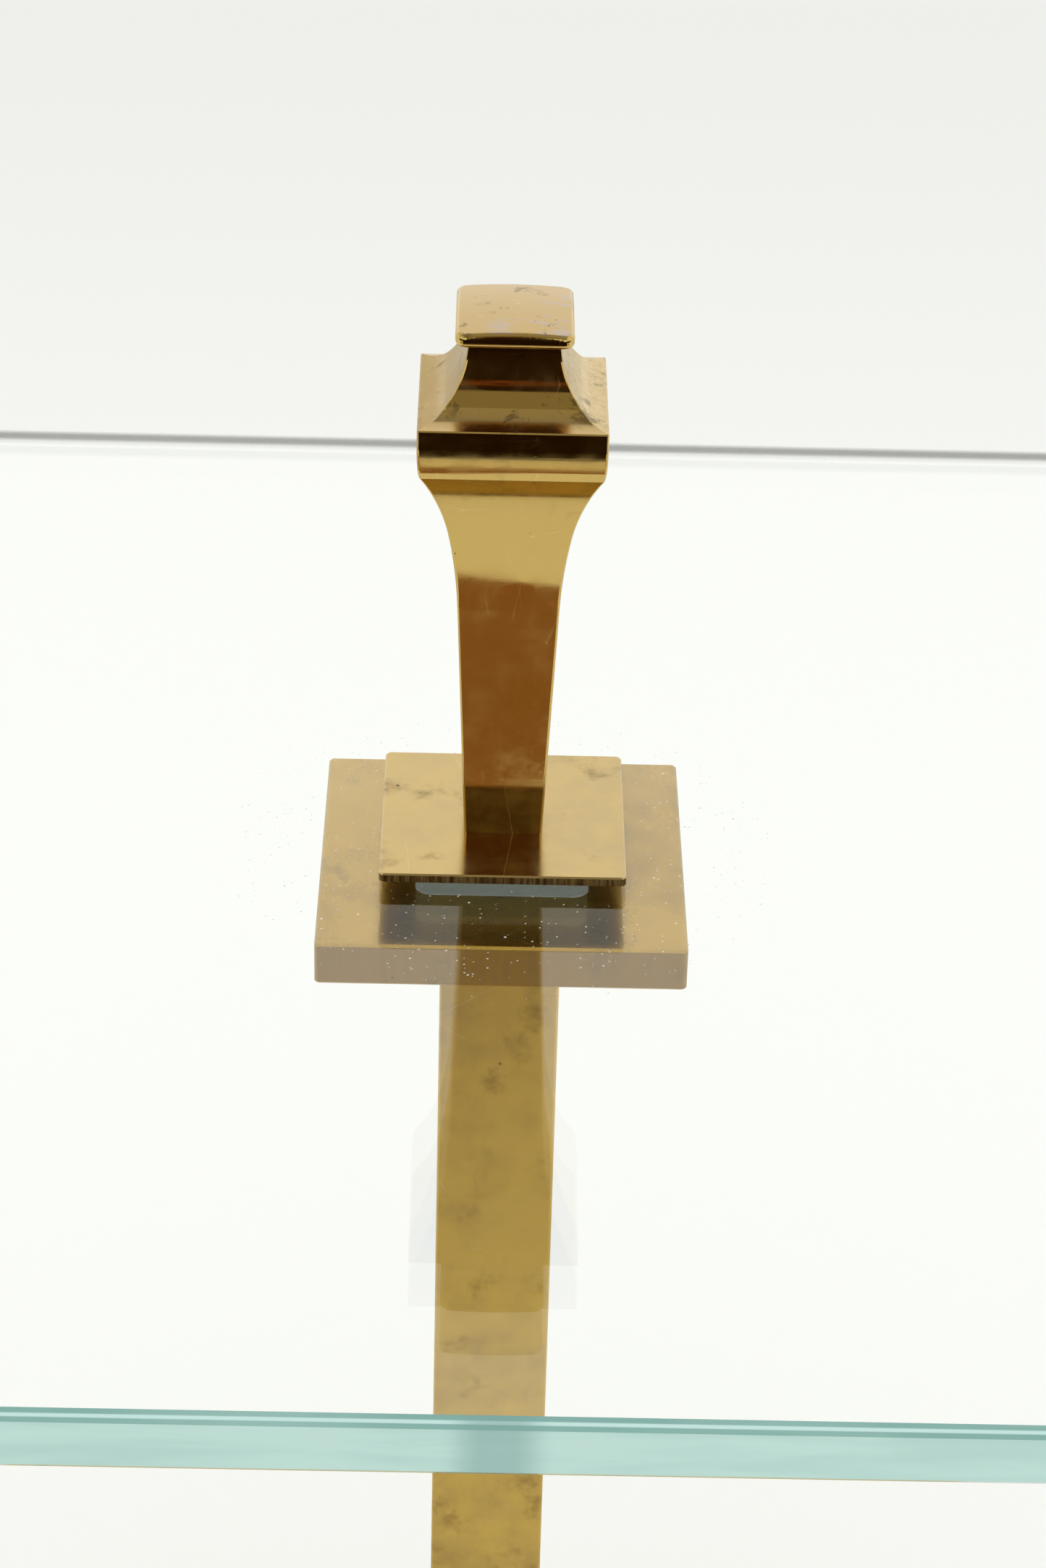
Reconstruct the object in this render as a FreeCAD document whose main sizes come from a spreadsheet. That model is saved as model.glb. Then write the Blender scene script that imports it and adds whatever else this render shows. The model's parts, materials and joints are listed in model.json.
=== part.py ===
"""Single-post display stand: a glass shelf clamped on a square brass post by a finial, over a weighted base.

One M6 tie rod runs from a nut under the base, up through the post and the shelf, into the finial.
Millimetres, +Z up, origin under the middle of the stand on the surface that its feet rest on.
The front of the stand faces -Y.
"""
import FreeCAD, Part
import math
import os
import Sketcher
from FreeCAD import Placement, Rotation, Vector

doc = FreeCAD.newDocument("display_stand")
sheet = doc.addObject("Spreadsheet::Sheet", "dims")

# ---------------------------------------------------------------- driving dimensions
SIZES = [
    # finial: half widths and heights above its foot
    ("finial_foot_half", 6.4),
    ("taper_top_half", 8.1),
    ("taper_top_height", 42.0),
    ("flare_mid_half", 9.85),
    ("flare_mid_height", 56.6),
    ("flare_lower_curve", 93.6),
    ("flare_top_half", 14.3),
    ("flare_top_height", 67.9),
    ("flare_upper_curve", 40.7),
    ("band_roll_half", 14.583),
    ("band_roll_height", 69.4),
    ("band_roll_curve", 8.6),
    ("band_half", 14.74),
    ("band_bulge_height", 72.9),
    ("band_bulge_curve", 39.1),
    ("band_rim_bevel", 0.2),
    ("band_top_height", 76.12),
    ("shoulder_half", 10.5),
    ("shoulder_height", 78.31),
    ("shoulder_outer_curve", 6.2),
    ("shoulder_inner_curve", 13.52),
    ("neck_half", 7.34),
    ("neck_height", 87.9),
    ("stem_mitre_round", 0.4),
    ("shoulder_mitre_round", 0.35),
    ("insert_pocket_radius", 4.6),
    ("insert_pocket_depth", 18.0),
    # cap on the finial's neck
    ("cap_width", 18.3),
    ("cap_depth", 20.2),
    ("cap_height", 3.1),
    ("cap_corner", 1.8),
    ("cap_crown_radius", 90.0),
    ("cap_top_round", 1.0),
    ("cap_foot_round", 0.8),
    ("spigot_radius", 4.0),
    ("spigot_length", 6.0),
    # tie rod and its fasteners (M6, 1 mm pitch)
    ("rod_radius", 3.0),
    ("rod_engagement", 14.5),
    ("rod_hole_radius", 3.3),
    ("thread_clearance", 0.05),
    ("insert_radius", 4.55),
    ("insert_length", 16.0),
    ("insert_setback", 0.5),
    ("nut_flats", 10.0),
    ("nut_height", 5.0),
    ("washer_radius", 9.0),
    ("washer_thickness", 1.6),
    ("spring_radius", 5.9),
    ("spring_slit", 1.2),
    # plates and shelf
    ("upper_side", 40.0),
    ("upper_thickness", 1.5),
    ("upper_corner", 1.0),
    ("upper_edge_round", 0.25),
    ("gasket_side", 28.4),
    ("gasket_thickness", 1.5),
    ("gasket_corner", 2.8),
    ("gasket_room", 0.2),
    ("gasket_proud", 0.1),
    ("glass_width", 400.0),
    ("glass_depth", 307.0),
    ("glass_thickness", 10.0),
    ("glass_corner", 4.0),
    ("glass_arris", 1.4),
    ("glass_hole_radius", 8.0),
    ("bush_radius", 7.7),
    ("bush_gap", 0.1),
    ("flange_side", 60.0),
    ("flange_thickness", 7.5),
    ("flange_corner", 0.8),
    ("flange_bevel", 0.4),
    # post
    ("post_side", 20.0),
    ("post_wall", 2.0),
    ("post_corner", 0.6),
    ("post_length", 267.4),
    ("plug_length", 16.0),
    ("plug_gap", 0.05),
    ("dowel_radius", 1.5),
    ("dowel_length", 10.0),
    ("dowel_offset", 5.4),
    ("dowel_gap", 0.02),
    # base
    ("foot_height", 3.0),
    ("foot_radius", 9.0),
    ("foot_spacing", 160.0),
    ("base_side", 220.0),
    ("base_height", 22.0),
    ("base_band_height", 10.0),
    ("base_ledge", 1.0),
    ("base_cove", 10.0),
    ("base_top_lip", 2.0),
    ("cavity_side", 188.0),
    ("cavity_height", 18.0),
    ("weight_gap", 0.5),
    ("weight_level", 2.0),
    ("weight_well_radius", 12.0),
    ("weight_well_depth", 9.0),
    ("cover_level", 0.3),
    ("cover_thickness", 1.5),
    ("screw_spacing", 120.0),
    ("screw_radius", 2.0),
    ("screw_length", 9.0),
    ("screw_head_radius", 3.7),
    ("screw_head_height", 1.3),
    ("screw_gap", 0.05),
]
for row, (alias, value) in enumerate(SIZES, start=1):
    sheet.set(f"A{row}", alias)
    sheet.set(f"B{row}", str(value))
    sheet.setAlias(f"B{row}", alias)
doc.recompute()

# heights of the stack above the ground, as expressions on the sheet
BASE_BOTTOM = "dims.foot_height"
BASE_TOP = f"{BASE_BOTTOM} + dims.base_height"
POST_BOTTOM = f"{BASE_TOP} + dims.flange_thickness"
POST_TOP = f"{POST_BOTTOM} + dims.post_length"
GLASS_BOTTOM = f"{POST_TOP} + dims.flange_thickness + dims.gasket_proud"
GLASS_TOP = f"{GLASS_BOTTOM} + dims.glass_thickness"
PLATE_BOTTOM = f"{GLASS_TOP} + dims.gasket_thickness"
FINIAL_FOOT = f"{PLATE_BOTTOM} + dims.upper_thickness"
GASKET_SINK = "dims.gasket_thickness - dims.gasket_proud"
WELL_ROOF = f"{BASE_BOTTOM} + dims.weight_level + dims.weight_well_depth"
SPRING_TOP = f"{WELL_ROOF} - dims.washer_thickness"
NUT_TOP = f"{SPRING_TOP} - dims.washer_thickness"
ROD_BOTTOM = f"{NUT_TOP} - dims.nut_height - 0.6"
ROD_TOP = f"{FINIAL_FOOT} + dims.rod_engagement"

NODES = []
UPRIGHT_FRONT = Placement(Vector(0, 0, 0), Rotation(Vector(1, 0, 0), 90))
UPRIGHT_SIDE = Placement(Vector(0, 0, 0), Rotation(Vector(1, 1, 1), 120))


# ---------------------------------------------------------------- helpers
def value_of(expression):
    """Number that an expression on the sheet stands for now."""
    result = sheet.evalExpression(expression)
    return float(getattr(result, "Value", result))


def bind(item, **expressions):
    """Tie properties of an object to the sheet; double underscores stand for dots."""
    for name, expression in expressions.items():
        item.setExpression(name.replace("__", "."), expression)
    return item


def node(item, label, level=None):
    """Name a finished sub-part, set its height in the stand and list it for export."""
    item.Label = label
    if level:
        bind(item, Placement__Base__z=level)
    NODES.append(item)
    return item


def body_of(name):
    """Empty PartDesign body."""
    return doc.addObject("PartDesign::Body", f"{name}_body")


def sketch_in(body, name):
    """Sketch on the XY plane of a body's own origin."""
    sketch = body.newObject("Sketcher::SketchObject", name)
    plane = next(item for item in body.Origin.OriginFeatures if item.Role == "XY_Plane")
    sketch.AttachmentSupport = [(plane, "")]
    sketch.MapMode = "FlatFace"
    return sketch


def upright_sketch(name, placement):
    """Free sketch whose horizontal lies along X or Y and whose vertical is Z."""
    sketch = doc.addObject("Sketcher::SketchObject", name)
    sketch.Placement = placement
    return sketch


def arc_through(start, end, radius, left_turn):
    """Short arc from start to end, turning left or right along the way."""
    chord = end - start
    middle = start + chord * 0.5
    normal = Vector(-chord.y, chord.x, 0).normalize()
    reach = math.sqrt(radius ** 2 - (chord.Length / 2) ** 2)
    centre = middle + normal * (reach if left_turn else -reach)
    first, last = (start, end) if left_turn else (end, start)
    angles = [math.atan2(point.y - centre.y, point.x - centre.x) for point in (first, last)]
    return Part.ArcOfCircle(Part.Circle(centre, Vector(0, 0, 1), radius), *angles)


def pin_coordinate(sketch, kind, geometry, vertex, expression):
    """Hold one coordinate of a vertex at an expression."""
    if expression == "0":
        axis = -1 if kind == "DistanceY" else -2
        sketch.addConstraint(Sketcher.Constraint("PointOnObject", geometry, vertex, axis))
        return
    held = Sketcher.Constraint(kind, -1, 1, geometry, vertex, value_of(expression))
    index = sketch.addConstraint(held)
    sketch.setExpression(f"Constraints[{index}]", expression)


def outline(sketch, corners, arcs=None):
    """Closed outline through corners given as expressions.

    arcs maps the number of a side to its radius expression and whether it turns left.
    """
    arcs = arcs or {}
    points = [Vector(value_of(x), value_of(y), 0) for x, y in corners]
    sides = []
    for number, start in enumerate(points):
        end = points[(number + 1) % len(points)]
        if number in arcs:
            radius, left_turn = arcs[number]
            curve = arc_through(start, end, value_of(radius), left_turn)
            first, last = (1, 2) if left_turn else (2, 1)
            geometry = sketch.addGeometry(curve, False)
            held = sketch.addConstraint(Sketcher.Constraint("Radius", geometry, value_of(radius)))
            sketch.setExpression(f"Constraints[{held}]", radius)
        else:
            first, last = 1, 2
            geometry = sketch.addGeometry(Part.LineSegment(start, end), False)
        sides.append((geometry, first, last))
    for number, (geometry, first, _) in enumerate(sides):
        before, _, before_last = sides[number - 1]
        sketch.addConstraint(Sketcher.Constraint("Coincident", before, before_last, geometry, first))
        pin_coordinate(sketch, "DistanceX", geometry, first, corners[number][0])
        pin_coordinate(sketch, "DistanceY", geometry, first, corners[number][1])


def rectangle(sketch, width, depth):
    """Rectangle centred on the sketch's origin."""
    half_x, half_y = f"({width}) / 2", f"({depth}) / 2"
    outline(sketch, [(f"-{half_x}", f"-{half_y}"), (half_x, f"-{half_y}"),
                     (half_x, half_y), (f"-{half_x}", half_y)])


def circle(sketch, radius, x="0", y="0"):
    """Circle with its centre and radius held."""
    centre = Vector(value_of(x), value_of(y), 0)
    geometry = sketch.addGeometry(Part.Circle(centre, Vector(0, 0, 1), value_of(radius)), False)
    pin_coordinate(sketch, "DistanceX", geometry, 3, x)
    pin_coordinate(sketch, "DistanceY", geometry, 3, y)
    held = sketch.addConstraint(Sketcher.Constraint("Radius", geometry, value_of(radius)))
    sketch.setExpression(f"Constraints[{held}]", radius)


def pad(body, sketch, length):
    """Pad of a sketch, up from its plane."""
    feature = body.newObject("PartDesign::Pad", f"{sketch.Name}_pad")
    feature.Profile = sketch
    return bind(feature, Length=length)


def pocket(body, sketch, depth):
    """Pocket cut upwards from the sketch's plane, checked to have removed something."""
    doc.recompute()
    volume = body.Shape.Volume
    feature = body.newObject("PartDesign::Pocket", f"{sketch.Name}_pocket")
    feature.Profile = sketch
    feature.Reversed = True
    bind(feature, Length=depth)
    doc.recompute()
    if not body.Shape.Volume < volume - 1e-3:
        raise RuntimeError(f"{feature.Name} cut nothing")
    return feature


def edges_where(shape, test):
    """Names of the edges that pass a test."""
    return [f"Edge{index}" for index, edge in enumerate(shape.Edges, start=1) if test(edge)]


def is_upright(edge):
    """True for a straight edge along Z."""
    box = edge.BoundBox
    return box.XLength < 1e-6 and box.YLength < 1e-6 and box.ZLength > 1e-6


def at_height(height, half_side):
    """Test for edges that lie at one height and reach out as far as half_side."""
    def test(edge):
        box = edge.BoundBox
        reach = max(abs(box.XMin), abs(box.XMax), abs(box.YMin), abs(box.YMax))
        return abs(box.ZMin - height) < 1e-6 and box.ZLength < 1e-6 and reach > half_side - 3
    return test


def dress(body, kind, test, size):
    """Fillet or chamfer on the edges of a body that pass a test."""
    doc.recompute()
    base = body.Tip
    feature = body.newObject(f"PartDesign::{kind}", f"{body.Name}_{kind.lower()}")
    feature.Base = (base, edges_where(base.Shape, test))
    size_property = "Radius" if kind == "Fillet" else "Size"
    return bind(feature, **{size_property: size})


def plate(name, width, depth, thickness, hole, corner):
    """Flat plate with rounded corners and one round hole in the middle."""
    body = body_of(name)
    sketch = sketch_in(body, f"{name}_outline")
    rectangle(sketch, width, depth)
    circle(sketch, hole)
    pad(body, sketch, thickness)
    dress(body, "Fillet", is_upright, corner)
    return body


def dowel_holes(body, name, level_offset, depth):
    """Two blind dowel holes on the X axis, cut from a plane above the body's foot."""
    sketch = sketch_in(body, f"{name}_dowel_holes")
    bind(sketch, AttachmentOffset__Base__z=level_offset)
    for side in ("-dims.dowel_offset", "dims.dowel_offset"):
        circle(sketch, "dims.dowel_radius + dims.dowel_gap", side)
    pocket(body, sketch, depth)


def mitred(name, corners, arcs, width):
    """Square piece whose four faces follow one outline and meet in mitres."""
    halves = []
    for suffix, placement in (("front", UPRIGHT_FRONT), ("side", UPRIGHT_SIDE)):
        sketch = upright_sketch(f"{name}_{suffix}_outline", placement)
        outline(sketch, corners, arcs)
        half = doc.addObject("Part::Extrusion", f"{name}_{suffix}")
        half.Base = sketch
        half.DirMode = "Normal"
        half.Solid = True
        half.Symmetric = True
        halves.append(bind(half, LengthFwd=width))
    common = doc.addObject("Part::Common", f"{name}_mitred")
    common.Base, common.Tool = halves
    return common


def both_sides(right_side):
    """Corners up the right side followed by their mirror images down the left."""
    return right_side + [(f"-({x})", y) for x, y in reversed(right_side)]


def both_arcs(arcs, corner_count):
    """Arcs of the right side and their mirror images."""
    mirrored = {2 * corner_count - 2 - side: arc for side, arc in arcs.items()}
    return {**arcs, **mirrored}


def cylinder(name, radius, height, x="0", y="0", z="0"):
    """Upright cylinder standing at a point."""
    item = doc.addObject("Part::Cylinder", name)
    return bind(item, Radius=radius, Height=height,
                Placement__Base__x=x, Placement__Base__y=y, Placement__Base__z=z)


def box(name, width, depth, height, x="0", y="0", z="0"):
    """Box centred on a point in plan and standing on it."""
    item = doc.addObject("Part::Box", name)
    return bind(item, Length=width, Width=depth, Height=height,
                Placement__Base__x=f"{x} - ({width}) / 2", Placement__Base__y=f"{y} - ({depth}) / 2",
                Placement__Base__z=z)


def combine(kind, name, base, tool):
    """Boolean of two objects; kind is Cut, Fuse or Common."""
    item = doc.addObject(f"Part::{kind}", name)
    item.Base = base
    item.Tool = tool
    return item


def compound(name, items):
    """Group of separate identical solids."""
    group = doc.addObject("Part::Compound", name)
    group.Links = items
    return group


def square_places(spacing):
    """The four corners of a square, as pairs of expressions."""
    half = f"({spacing}) / 2"
    return [(f"{x}{half}", f"{y}{half}") for x in ("-", "") for y in ("-", "")]


# ---------------------------------------------------------------- finial
def is_mitre(edge, low, high):
    """True for an edge that climbs a corner of a square piece, all of it between two heights."""
    start, end = edge.ParameterRange
    points = [edge.valueAt(start + (end - start) * step / 4) for step in range(5)]
    on_corner = all(abs(abs(point.x) - abs(point.y)) < 1e-3 for point in points)
    inside = all(low - 0.05 < point.z < high + 0.05 for point in points)
    return on_corner and inside and abs(points[0].z - points[4].z) > 0.1 and abs(points[0].x) > 6


def round_mitres(name, base, low, high, radius):
    """Fillet along the four mitres of a square piece, between two heights."""
    doc.recompute()
    rounded = doc.addObject("Part::Fillet", name)
    rounded.Base = base
    edges = [index for index, edge in enumerate(base.Shape.Edges, start=1) if is_mitre(edge, low, high)]
    rounded.Edges = [(index, radius, radius) for index in edges]
    return rounded


def finial_body():
    """Tapered square stem that flares to a band, with a coved shoulder up to its neck."""
    right_side = [
        ("dims.finial_foot_half", "0"),
        ("dims.taper_top_half", "dims.taper_top_height"),
        ("dims.flare_mid_half", "dims.flare_mid_height"),
        ("dims.flare_top_half", "dims.flare_top_height"),
        ("dims.band_roll_half", "dims.band_roll_height"),
        ("dims.band_half", "dims.band_bulge_height"),
        ("dims.band_half", "dims.band_top_height - dims.band_rim_bevel"),
        ("dims.band_half - dims.band_rim_bevel", "dims.band_top_height"),
        ("dims.shoulder_half", "dims.shoulder_height"),
        ("dims.neck_half", "dims.neck_height"),
    ]
    arcs = {
        1: ("dims.flare_lower_curve", False),
        2: ("dims.flare_upper_curve", False),
        3: ("dims.band_roll_curve", True),
        4: ("dims.band_bulge_curve", True),
        7: ("dims.shoulder_outer_curve", False),
        8: ("dims.shoulder_inner_curve", False),
    }
    solid = mitred("finial", both_sides(right_side), both_arcs(arcs, len(right_side)), "dims.band_half * 3")
    insert_pocket = cylinder("finial_insert_pocket", "dims.insert_pocket_radius", "dims.insert_pocket_depth")
    spigot_pocket = cylinder("finial_spigot_pocket", "dims.spigot_radius", "dims.spigot_length + 1",
                             z="dims.neck_height - dims.spigot_length - 1")
    bored = combine("Cut", "finial_bored", solid, insert_pocket)
    pocketed = combine("Cut", "finial_pocketed", bored, spigot_pocket)
    rim = value_of("dims.band_top_height - dims.band_rim_bevel")
    lower = round_mitres("finial_stem_rounded", pocketed, 0, rim, value_of("dims.stem_mitre_round"))
    upper = round_mitres("finial_finished", lower, value_of("dims.band_top_height"),
                         value_of("dims.neck_height"), value_of("dims.shoulder_mitre_round"))
    node(upper, "finial_body", FINIAL_FOOT)


def finial_cap():
    """Nearly square cap, a little deeper than wide, with soft edges and a low crown, on a spigot."""
    block = box("cap_block", "dims.cap_width", "dims.cap_depth", "dims.cap_height + 2")
    doc.recompute()
    rounded = doc.addObject("Part::Fillet", "cap_rounded")
    rounded.Base = block
    corner = value_of("dims.cap_corner")
    uprights = [index for index, edge in enumerate(block.Shape.Edges, start=1) if is_upright(edge)]
    rounded.Edges = [(index, corner, corner) for index in uprights]
    crown = bind(doc.addObject("Part::Sphere", "cap_crown"), Radius="dims.cap_crown_radius",
                 Placement__Base__z="dims.cap_height - dims.cap_crown_radius")
    crowned = combine("Common", "cap_crowned", rounded, crown)
    doc.recompute()
    softened = doc.addObject("Part::Fillet", "cap_softened")
    softened.Base = crowned
    top_round, foot_round = value_of("dims.cap_top_round"), value_of("dims.cap_foot_round")
    rims = []
    for index, edge in enumerate(crowned.Shape.Edges, start=1):
        if not is_upright(edge):
            edge_round = foot_round if edge.BoundBox.ZMax < 1e-6 else top_round
            rims.append((index, edge_round, edge_round))
    softened.Edges = rims
    spigot = cylinder("cap_spigot", "dims.spigot_radius - dims.plug_gap", "dims.spigot_length + 1",
                      z="-dims.spigot_length")
    node(combine("Fuse", "cap_finished", softened, spigot), "finial_cap", f"{FINIAL_FOOT} + dims.neck_height")


def finial_insert():
    """Round threaded sleeve in the finial's foot; it runs on the tie rod."""
    sleeve = cylinder("insert_sleeve", "dims.insert_radius", "dims.insert_length")
    thread = cylinder("insert_thread", "dims.rod_radius + dims.thread_clearance", "dims.insert_length")
    level = f"{FINIAL_FOOT} + dims.insert_setback"
    node(combine("Cut", "insert_bored", sleeve, thread), "finial_insert", level)


# ---------------------------------------------------------------- shelf and its plates
def upper_plate():
    """Thin brass plate under the finial."""
    body = plate("upper_plate", "dims.upper_side", "dims.upper_side", "dims.upper_thickness",
                 "dims.rod_hole_radius", "dims.upper_corner")
    top_rim = at_height(value_of("dims.upper_thickness"), value_of("dims.upper_side / 2"))
    dress(body, "Chamfer", top_rim, "dims.upper_edge_round")
    node(body, "upper_plate", PLATE_BOTTOM)


def gasket(name, level):
    """Pale square pad between the glass and a brass plate."""
    body = plate(name, "dims.gasket_side", "dims.gasket_side", "dims.gasket_thickness",
                 "dims.rod_hole_radius", "dims.gasket_corner")
    node(body, name, level)


def glass_shelf():
    """Glass plate with polished arrises and one round hole on the post's axis."""
    body = plate("glass_shelf", "dims.glass_width", "dims.glass_depth", "dims.glass_thickness",
                 "dims.glass_hole_radius", "dims.glass_corner")
    thickness = value_of("dims.glass_thickness")
    reach = value_of("dims.glass_depth / 2")
    top_rim, bottom_rim = at_height(thickness, reach), at_height(0, reach)
    dress(body, "Chamfer", lambda edge: top_rim(edge) or bottom_rim(edge), "dims.glass_arris")
    node(body, "glass_shelf", GLASS_BOTTOM)


def centring_bush():
    """Nylon bush that fills the hole in the glass and keeps the rod in its middle."""
    body = body_of("centring_bush")
    sketch = sketch_in(body, "centring_bush_outline")
    circle(sketch, "dims.bush_radius")
    circle(sketch, "dims.rod_hole_radius")
    pad(body, sketch, "dims.glass_thickness - dims.bush_gap")
    node(body, "centring_bush", GLASS_BOTTOM)


def square_flange(name, level, dowels_from_top):
    """Thick square plate at an end of the post, with dowel holes on the post's side."""
    body = plate(name, "dims.flange_side", "dims.flange_side", "dims.flange_thickness",
                 "dims.rod_hole_radius", "dims.flange_corner")
    thickness = value_of("dims.flange_thickness")
    reach = value_of("dims.flange_side / 2")
    top_rim, bottom_rim = at_height(thickness, reach), at_height(0, reach)
    dress(body, "Chamfer", lambda edge: top_rim(edge) or bottom_rim(edge), "dims.flange_bevel")
    start = "dims.flange_thickness - dims.dowel_length / 2" if dowels_from_top else "0"
    dowel_holes(body, name, start, "dims.dowel_length / 2")
    return node(body, name, level)


def gasket_recess(body):
    """Shallow square recess in the top of a flange, where the lower gasket stands a little proud."""
    sketch = sketch_in(body, "gasket_recess_outline")
    bind(sketch, AttachmentOffset__Base__z=f"dims.flange_thickness - ({GASKET_SINK})")
    side = "dims.gasket_side + 2 * dims.gasket_room"
    rectangle(sketch, side, side)
    pocket(body, sketch, GASKET_SINK)
    floor = value_of(f"dims.flange_thickness - ({GASKET_SINK})")
    reach = value_of("dims.flange_side / 2") - 5

    def recess_corner(edge):
        edge_box = edge.BoundBox
        return is_upright(edge) and abs(edge_box.ZMin - floor) < 1e-6 and abs(edge_box.XMax) < reach
    dress(body, "Fillet", recess_corner, "dims.gasket_corner + dims.gasket_room")


# ---------------------------------------------------------------- post
def post_tube():
    """Square brass tube."""
    body = body_of("post_tube")
    sketch = sketch_in(body, "post_tube_outline")
    rectangle(sketch, "dims.post_side", "dims.post_side")
    rectangle(sketch, "dims.post_side - 2 * dims.post_wall", "dims.post_side - 2 * dims.post_wall")
    pad(body, sketch, "dims.post_length")
    outer = value_of("dims.post_side / 2")

    def outer_corner(edge):
        return is_upright(edge) and abs(edge.BoundBox.XMin) > outer - 1e-3

    dress(body, "Fillet", outer_corner, "dims.post_corner")
    node(body, "post_tube", POST_BOTTOM)


def post_plug(name, level, dowels_from_top):
    """Square plug brazed into an end of the tube, drilled for the rod and the dowels."""
    body = body_of(name)
    side = "dims.post_side - 2 * dims.post_wall - 2 * dims.plug_gap"
    sketch = sketch_in(body, f"{name}_outline")
    rectangle(sketch, side, side)
    circle(sketch, "dims.rod_hole_radius")
    pad(body, sketch, "dims.plug_length")
    start = "dims.plug_length - dims.dowel_length / 2" if dowels_from_top else "0"
    dowel_holes(body, name, start, "dims.dowel_length / 2")
    node(body, name, level)


def dowel_pair(name, level):
    """Two steel dowels that stop the post turning on its flange."""
    dowels = []
    for number, side in enumerate(("-dims.dowel_offset", "dims.dowel_offset"), start=1):
        dowels.append(cylinder(f"{name}_{number}", "dims.dowel_radius", "dims.dowel_length", x=side))
    node(compound(f"{name}_group", dowels), name, f"{level} - dims.dowel_length / 2")


def tie_rod():
    """Steel rod from the nut in the base to the insert in the finial."""
    node(cylinder("tie_rod_bar", "dims.rod_radius", f"({ROD_TOP}) - ({ROD_BOTTOM})", z=ROD_BOTTOM), "tie_rod")


# ---------------------------------------------------------------- base
def base_shell():
    """Cast brass base, square in plan, with a vertical band and a cove up to its top."""
    half = "dims.base_side / 2"
    cove_top = "dims.base_height - dims.base_top_lip"
    right_side = [
        (half, "0"),
        (half, "dims.base_band_height"),
        (f"{half} - dims.base_ledge", "dims.base_band_height"),
        (f"{half} - dims.base_ledge - dims.base_cove", cove_top),
        (f"{half} - 2 * dims.base_ledge - dims.base_cove", cove_top),
        (f"{half} - 2 * dims.base_ledge - dims.base_cove", "dims.base_height"),
    ]
    arcs = both_arcs({2: ("dims.base_cove", False)}, len(right_side))
    solid = mitred("base", both_sides(right_side), arcs, "dims.base_side + 20")
    cavity = box("base_cavity", "dims.cavity_side", "dims.cavity_side", "dims.cavity_height")
    rod_hole = cylinder("base_rod_hole", "dims.rod_hole_radius", "dims.base_height")
    hollow = combine("Cut", "base_hollow", solid, cavity)
    node(combine("Cut", "base_finished", hollow, rod_hole), "base_shell", BASE_BOTTOM)


def base_weight():
    """Cast-iron slab in the shell, with a well for the nut and four tapped holes."""
    side = "dims.cavity_side - 2 * dims.weight_gap"
    body = body_of("base_weight")
    sketch = sketch_in(body, "base_weight_outline")
    rectangle(sketch, side, side)
    circle(sketch, "dims.rod_hole_radius")
    pad(body, sketch, "dims.cavity_height - dims.weight_level")
    well = sketch_in(body, "base_weight_well")
    circle(well, "dims.weight_well_radius")
    pocket(body, well, "dims.weight_well_depth")
    tapped = sketch_in(body, "base_weight_tapped_holes")
    for x, y in square_places("dims.screw_spacing"):
        circle(tapped, "dims.screw_radius + dims.screw_gap", x, y)
    pocket(body, tapped, "dims.screw_length + 1")
    node(body, "base_weight", f"{BASE_BOTTOM} + dims.weight_level")


def rod_washer():
    """Flat washer against the roof of the well."""
    body = body_of("rod_washer")
    sketch = sketch_in(body, "rod_washer_outline")
    circle(sketch, "dims.washer_radius")
    circle(sketch, "dims.rod_hole_radius")
    pad(body, sketch, "dims.washer_thickness")
    node(body, "rod_washer", f"{WELL_ROOF} - dims.washer_thickness")


def lock_washer():
    """Split spring washer between the flat washer and the nut."""
    disc = cylinder("spring_disc", "dims.spring_radius", "dims.washer_thickness")
    bore = cylinder("spring_bore", "dims.rod_hole_radius", "dims.washer_thickness")
    ring = combine("Cut", "spring_ring", disc, bore)
    slit = box("spring_slit_tool", "dims.spring_radius * 2", "dims.spring_slit", "dims.washer_thickness",
               x="dims.spring_radius")
    node(combine("Cut", "spring_split", ring, slit), "lock_washer", f"{SPRING_TOP} - dims.washer_thickness")


def rod_nut():
    """Hexagon nut on the lower end of the rod."""
    prism = bind(doc.addObject("Part::Prism", "nut_prism"), Height="dims.nut_height",
                 Circumradius="dims.nut_flats / sqrt(3)")
    prism.Polygon = 6
    thread = cylinder("nut_thread", "dims.rod_radius + dims.thread_clearance / 2", "dims.nut_height")
    node(combine("Cut", "nut_bored", prism, thread), "rod_nut", f"{NUT_TOP} - dims.nut_height")


def screw_shape(name, x, y, growth):
    """Countersunk screw standing head down, grown all round by a clearance."""
    head = bind(doc.addObject("Part::Cone", f"{name}_head"), Radius1=f"dims.screw_head_radius + {growth}",
                Radius2=f"dims.screw_radius + {growth}", Height="dims.screw_head_height",
                Placement__Base__x=x, Placement__Base__y=y)
    shank = cylinder(f"{name}_shank", f"dims.screw_radius + {growth}",
                     "dims.screw_length - dims.screw_head_height", x, y, "dims.screw_head_height")
    return combine("Fuse", name, head, shank)


def base_cover():
    """Steel sheet that closes the base from below, countersunk for its screws."""
    side = "dims.cavity_side - 2 * dims.weight_gap"
    sheet_blank = box("cover_sheet", side, side, "dims.cover_thickness")
    screw_holes = []
    for number, (x, y) in enumerate(square_places("dims.screw_spacing"), start=1):
        screw_holes.append(screw_shape(f"cover_hole_{number}", x, y, "dims.screw_gap"))
    holes = compound("cover_holes", screw_holes)
    finished = combine("Cut", "cover_finished", sheet_blank, holes)
    node(finished, "base_cover", f"{BASE_BOTTOM} + dims.cover_level")


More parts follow.
